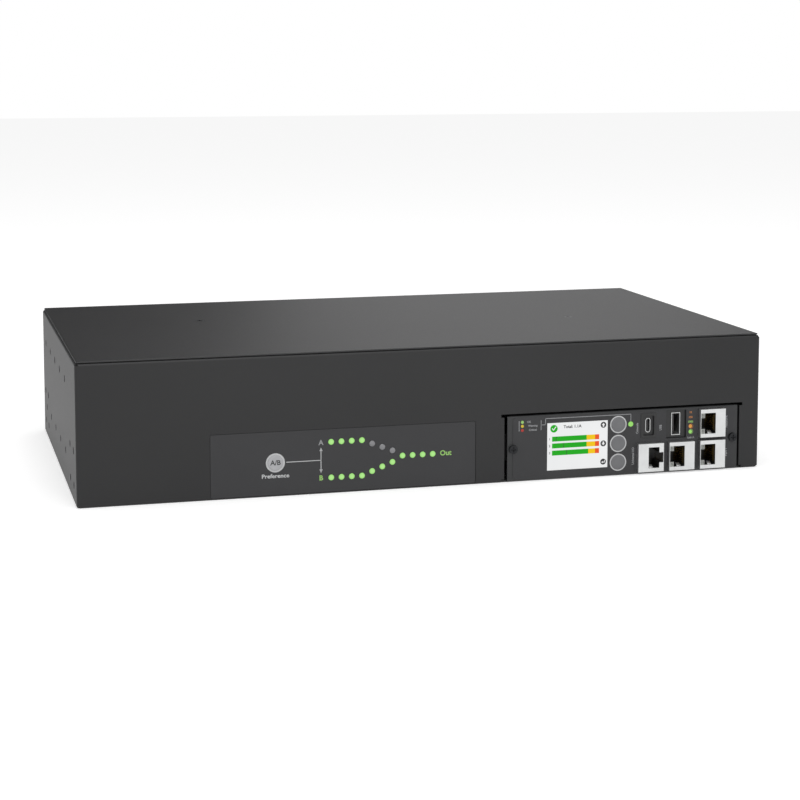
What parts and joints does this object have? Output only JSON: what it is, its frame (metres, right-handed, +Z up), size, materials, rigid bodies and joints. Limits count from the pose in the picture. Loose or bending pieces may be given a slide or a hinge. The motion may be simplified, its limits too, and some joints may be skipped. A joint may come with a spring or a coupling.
{
  "type": "rack automatic transfer switch",
  "caption": "Flat two-unit rack enclosure with a source indicator panel, a slide-in display and network module, and rear power inlets and outlets.",
  "frame": {"origin": "middle of the enclosure's underside", "axes": "+X to the right seen from the front, +Y from front to rear, +Z up"},
  "size_m": [0.432, 0.2526, 0.0865],
  "materials": {
    "black_paint": "fine satin black powder coat",
    "cover_paint": "fine satin black powder coat",
    "module_paint": "satin dark grey paint",
    "overlay_film": "fine matt printed film",
    "print_ink": "light grey screen print",
    "lamp_green": "lit green light pipe",
    "lamp_grey": "unlit light pipe",
    "lamp_amber": "lit amber light pipe",
    "lamp_clear": "clear light pipe",
    "button_grey": "matt grey moulding",
    "button_light": "matt light grey moulding",
    "glass_white": "lit display face under a clear window",
    "zinc": "zinc plated steel",
    "shield": "bright tinned sheet",
    "brass": "plain brass",
    "gold": "gold plated spring",
    "copper": "bare copper strip",
    "screw_black": "black oxide",
    "black_plastic": "fine spark textured black moulding",
    "rocker_plastic": "smooth black moulding",
    "board_green": "solder resist on glass laminate",
    "relay_plastic": "cream moulding",
    "terminal_plastic": "green moulding",
    "capacitor_sleeve": "shrunk blue sleeve",
    "sensor_coat": "dipped coat",
    "core_steel": "varnished laminations",
    "coil_wire": "enamelled winding",
    "fin_aluminium": "plain extrusion",
    "cable_grey": "flat cable",
    "lead_brown": "insulated lead",
    "lead_blue": "insulated lead"
  },
  "bodies": {
    "switch_unit": {"chassis_tray": "black_paint", "top_cover": "cover_paint", "cover_posts": "zinc", "cover_screws": "screw_black", "rear_panel": "black_paint", "panel_screws": "screw_black", "ground_terminal": "brass", "indicator_overlay": "overlay_film", "source_lights_on": "lamp_green", "source_lights_off": "lamp_grey", "indicator_board": "board_green", "preference_switch": "black_plastic", "module_faceplate": "module_paint", "module_tray": "zinc", "module_overlay": "overlay_film", "module_screws": "screw_black", "display_glass": "glass_white", "display_module": "zinc", "display_board": "board_green", "menu_switches": "black_plastic", "status_light": "lamp_green", "link_light_amber": "lamp_amber", "link_light_green": "lamp_green", "jack_shields": "shield", "jack_inserts": "black_plastic", "jack_lamps": "lamp_clear", "jack_contacts": "gold", "usb_shells": "shield", "usb_tongues": "black_plastic", "port_bezels": "black_plastic", "port_risers": "board_green", "module_board": "board_green", "module_chips": "black_plastic", "ribbon_cables": "cable_grey", "main_board": "board_green", "board_spacers": "zinc", "board_screws": "zinc", "relays": "relay_plastic", "supply_cores": "core_steel", "supply_coils": "coil_wire", "capacitors": "capacitor_sleeve", "current_sensors": "sensor_coat", "heat_sinks": "fin_aluminium", "terminal_blocks": "terminal_plastic", "input_leads": "lead_brown", "output_leads": "lead_blue", "inlets": "black_plastic", "inlet_pins": "brass", "outlet_frames": "black_plastic", "outlet_cores": "black_plastic", "outlet_backs": "black_plastic", "outlet_bus_strips": "copper", "breakers": "black_plastic"},
    "preference_button_body": {"preference_button": "button_light"},
    "menu_button_up_body": {"menu_button_up": "button_grey"},
    "menu_button_down_body": {"menu_button_down": "button_grey"},
    "menu_button_enter_body": {"menu_button_enter": "button_grey"},
    "breaker_rocker_1_body": {"breaker_rocker_1": "rocker_plastic"},
    "breaker_rocker_2_body": {"breaker_rocker_2": "rocker_plastic"}
  },
  "joints": [
    {"name": "preference_button_press", "type": "slide", "parent": "switch_unit", "child": "preference_button_body", "axis": [0, 1, 0], "range_m": [0, 0.0006], "stiffness_N_per_m": 1500},
    {"name": "menu_button_up_press", "type": "slide", "parent": "switch_unit", "child": "menu_button_up_body", "axis": [0, 1, 0], "range_m": [0, 0.0005], "stiffness_N_per_m": 1500},
    {"name": "menu_button_down_press", "type": "slide", "parent": "switch_unit", "child": "menu_button_down_body", "axis": [0, 1, 0], "range_m": [0, 0.0005], "stiffness_N_per_m": 1500},
    {"name": "menu_button_enter_press", "type": "slide", "parent": "switch_unit", "child": "menu_button_enter_body", "axis": [0, 1, 0], "range_m": [0, 0.0005], "stiffness_N_per_m": 1500},
    {"name": "breaker_rocker_1_tip", "type": "hinge", "parent": "switch_unit", "child": "breaker_rocker_1_body", "pos_m": [-0.14, 0.1135, 0.0226], "axis": [1, 0, 0], "range_deg": [-24, 0]},
    {"name": "breaker_rocker_2_tip", "type": "hinge", "parent": "switch_unit", "child": "breaker_rocker_2_body", "pos_m": [-0.14, 0.1135, 0.0639], "axis": [1, 0, 0], "range_deg": [-24, 0]}
  ]
}
